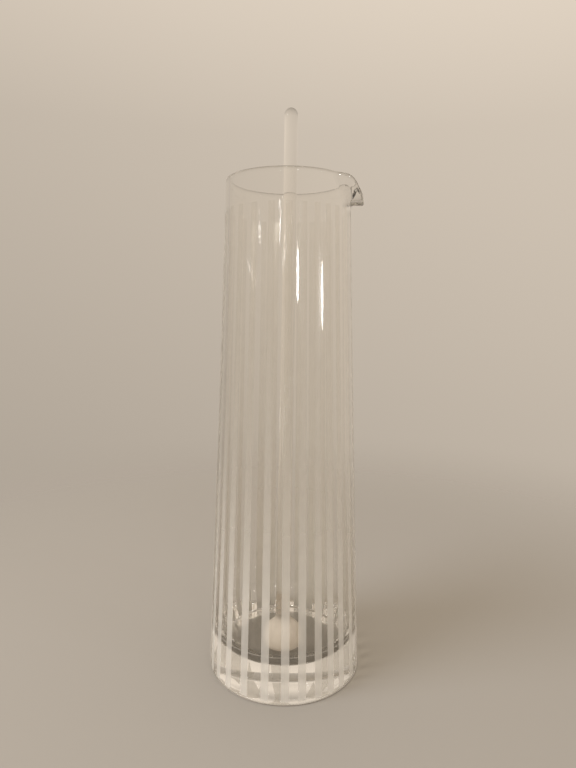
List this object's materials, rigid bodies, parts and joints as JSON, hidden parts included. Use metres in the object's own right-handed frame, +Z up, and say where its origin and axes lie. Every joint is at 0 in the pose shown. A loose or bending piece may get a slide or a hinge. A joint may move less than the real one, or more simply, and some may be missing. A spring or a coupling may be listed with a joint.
{
  "type": "cocktail pitcher",
  "caption": "Tall tapered glass jug with a heavy base, frosted stripes and a pulled pouring lip, with a loose ball-ended glass stirrer standing in it.",
  "frame": {"origin": "centre of the jug's underside, on the table", "axes": "+Z up along the jug's axis; +X toward the pouring lip; the picture was taken from about -Y, turned 14 degrees toward the lip"},
  "size_m": [0.0899, 0.09, 0.3334],
  "materials": {
    "clear_glass": "clear, fire polished",
    "stirrer_glass": "clear rod with a satin ball"
  },
  "bodies": {
    "jug": {"jug": "clear_glass"},
    "stirrer": {"stirrer": "stirrer_glass"}
  },
  "joints": [
    {"name": "stirrer_lift", "type": "slide", "parent": "jug", "child": "stirrer", "axis": [0, 0, 1], "range_m": [0, 0.275]}
  ]
}
